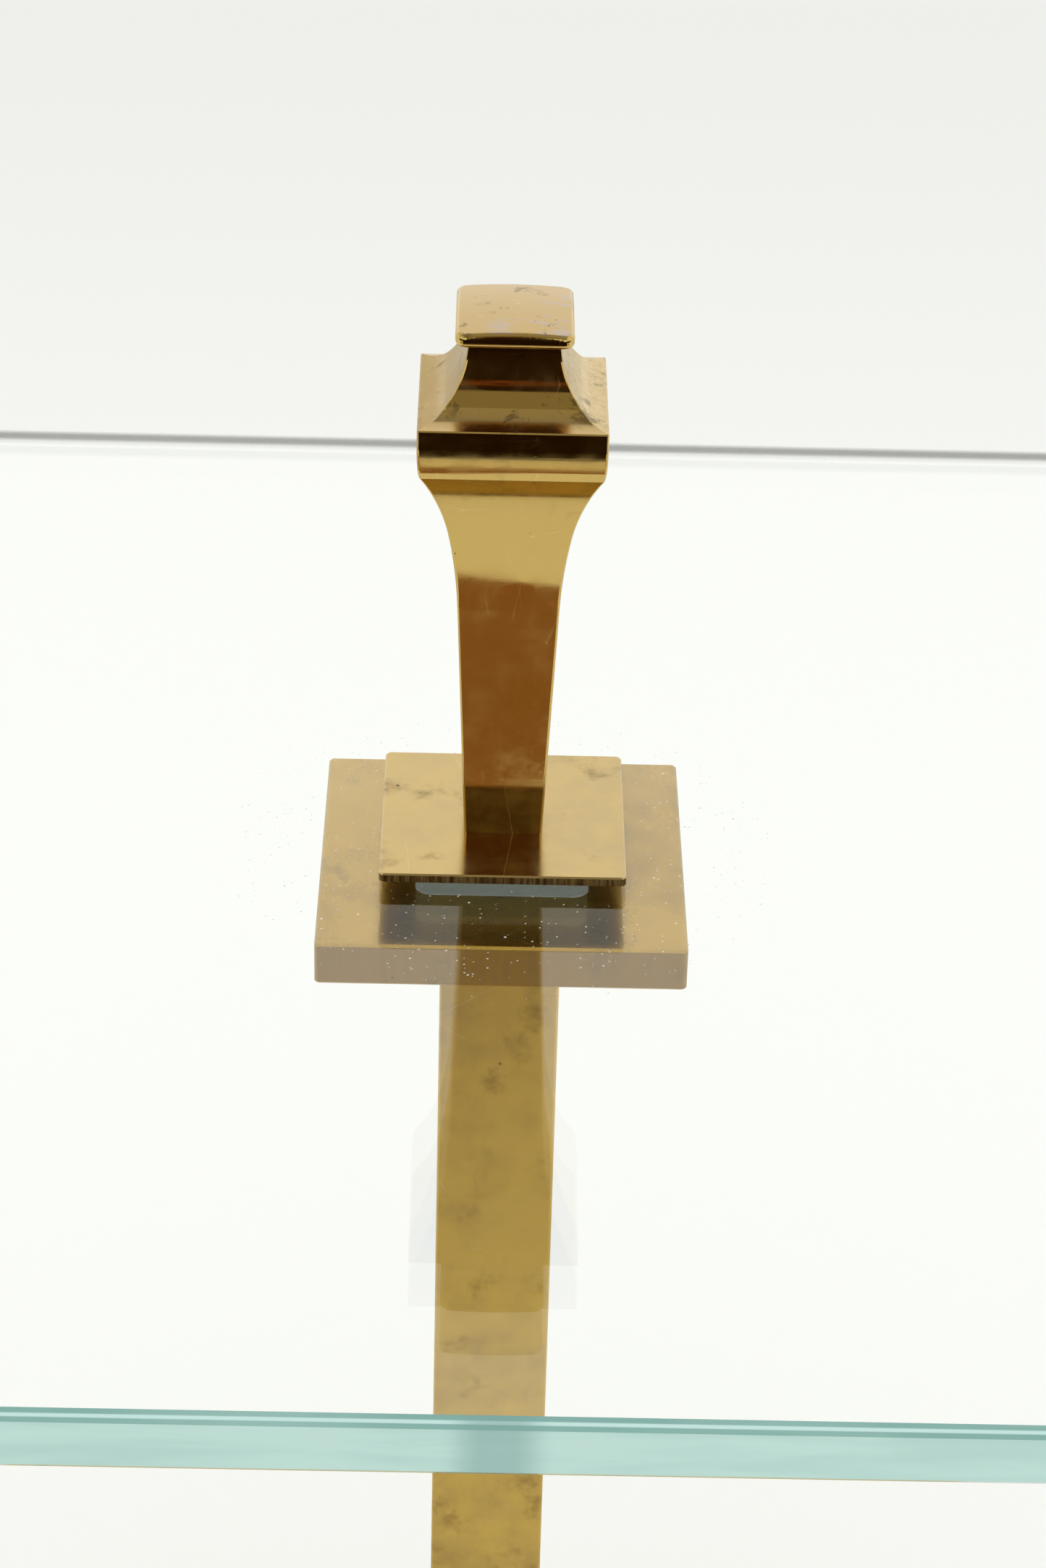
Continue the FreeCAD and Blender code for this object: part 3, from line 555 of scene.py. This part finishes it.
def make_world():
    """White surround, a little brighter behind the stand than in front of it."""
    world = bpy.data.worlds.new("studio")
    scene.world = world
    world.use_nodes = True
    tree = world.node_tree
    background = tree.nodes["Background"]
    coords = tree.nodes.new("ShaderNodeTexCoord")
    direction = tree.nodes.new("ShaderNodeSeparateXYZ")
    tree.links.new(coords.outputs["Generated"], direction.inputs[0])
    behind = remap(tree, direction.outputs["Y"], 0.2, 0.8)
    tree.links.new(mix_colour(tree, behind, WORLD_FRONT, WORLD_BACK), background.inputs["Color"])
    background.inputs["Strength"].default_value = 1.0


def make_studio():
    """Pale floor and white surround, with a darker room in front of the stand and over it."""
    half = FLOOR_HALF
    corners = [(-half, -half, 0), (half, -half, 0), (half, half, 0), (-half, half, 0)]
    floor = flat_object("floor", corners, floor_material())
    half = FRONT_HALF
    corners = [(-half, FRONT_Y, 0.0), (half, FRONT_Y, 0.0),
               (half, FRONT_Y, FRONT_TOP), (-half, FRONT_Y, FRONT_TOP)]
    card("room_front", corners, FRONT_COLOUR, FRONT_GLINT)
    half = UPPER_HALF
    corners = [(-half, FRONT_Y, FRONT_TOP), (half, FRONT_Y, FRONT_TOP),
               (half, FRONT_Y, UPPER_TOP), (-half, FRONT_Y, UPPER_TOP)]
    card("room_upper", corners, UPPER_COLOUR)
    corners = [(-half, FRONT_Y, UPPER_TOP), (half, FRONT_Y, UPPER_TOP),
               (half, OVER_BACK_Y, UPPER_TOP), (-half, OVER_BACK_Y, UPPER_TOP)]
    card("room_over", corners, OVER_COLOUR)
    make_world()


# ---------------------------------------------------------------- dressing the nodes
BRASSES = {
    # plate_brass's near-black colour for upright faces is painted shade.
    "plate_brass": {
        "clean": (0.545, 0.40, 0.165, 1), "film": (0.485, 0.365, 0.175, 1), "smooth": 0.10, "dull": 0.20,
        "film_share": 0.6, "spot_share": 0.10, "scratch_share": 0.35, "darker_sides": (0.07, 0.04, 0.014, 1)},
    "aged_brass": {
        "clean": (0.475, 0.295, 0.05, 1), "film": (0.385, 0.24, 0.052, 1), "smooth": 0.20, "dull": 0.34,
        "film_share": 0.6, "spot_share": 0.15, "scratch_share": 0.0, "stain": (0.15, 0.135, 0.085, 1),
        "darker_sides": (0.37, 0.235, 0.08, 1)},
    "post_brass": {
        "clean": (0.58, 0.395, 0.10, 1), "film": (0.47, 0.325, 0.105, 1), "smooth": 0.30, "dull": 0.42,
        "film_share": 0.5, "spot_share": 0.15, "scratch_share": 0.25, "stain": (0.20, 0.12, 0.05, 1),
        "grain": (1, 1, 0.08)},
    "base_brass": {
        "clean": POLISHED, "film": FILMED, "smooth": 0.12, "dull": 0.26,
        "film_share": 0.5, "spot_share": 0.08, "scratch_share": 0.3, "grain": (0.3, 0.3, 1)},
    "plug_brass": {
        "clean": (0.68, 0.50, 0.20, 1), "film": FILMED, "smooth": 0.22, "dull": 0.34,
        "film_share": 0.4, "spot_share": 0.05, "scratch_share": 0.2, "grain": (1, 1, 0.2)},
}
MATTERS = {
    # The gasket's emission value is painted light, lifting the pale pad out of the shade under the plate.
    "gasket": {
        "first": (0.72, 0.76, 0.70, 1), "second": (0.64, 0.69, 0.62, 1),
        "size": 0.0006, "rough": 0.55, "depth": 1e-5, "painted_glow": 0.08},
    "nylon": {
        "first": (0.80, 0.80, 0.75, 1), "second": (0.72, 0.72, 0.66, 1),
        "size": 0.0008, "rough": 0.42, "depth": 1e-5},
    "steel": {
        "first": (0.62, 0.62, 0.60, 1), "second": (0.50, 0.52, 0.55, 1), "spots": (0.35, 0.27, 0.18, 1),
        "size": 0.0006, "rough": 0.28, "depth": 8e-6, "metallic": 1.0},
    "cover_steel": {
        "first": (0.030, 0.030, 0.032, 1), "second": (0.045, 0.045, 0.045, 1),
        "size": 0.0007, "rough": 0.48, "depth": 3e-5},
    "cast_iron": {
        "first": (0.09, 0.085, 0.08, 1), "second": (0.14, 0.13, 0.12, 1), "spots": (0.16, 0.08, 0.04, 1),
        "size": 0.0012, "rough": 0.68, "depth": 1.2e-4, "metallic": 0.6},
    "rubber": {
        "first": (0.022, 0.022, 0.022, 1), "second": (0.034, 0.033, 0.032, 1),
        "size": 0.0005, "rough": 0.72, "depth": 4e-5},
}


def dress_nodes():
    """Give each CAD node the material of its record slot."""
    looks = {"polished_brass": finial_brass(), "glass": shelf_glass()}
    for slot, values in BRASSES.items():
        looks[slot] = brass(slot, **values)
    for slot, values in MATTERS.items():
        looks[slot] = matter(slot, **values)
    for part in frame["record"]["subparts"]:
        item = frame["nodes"][part["node"]]
        item.data.materials.clear()
        item.data.materials.append(looks[part["material_slot"]])


make_camera()
make_studio()
dress_nodes()
scene.view_settings.view_transform = "Standard"
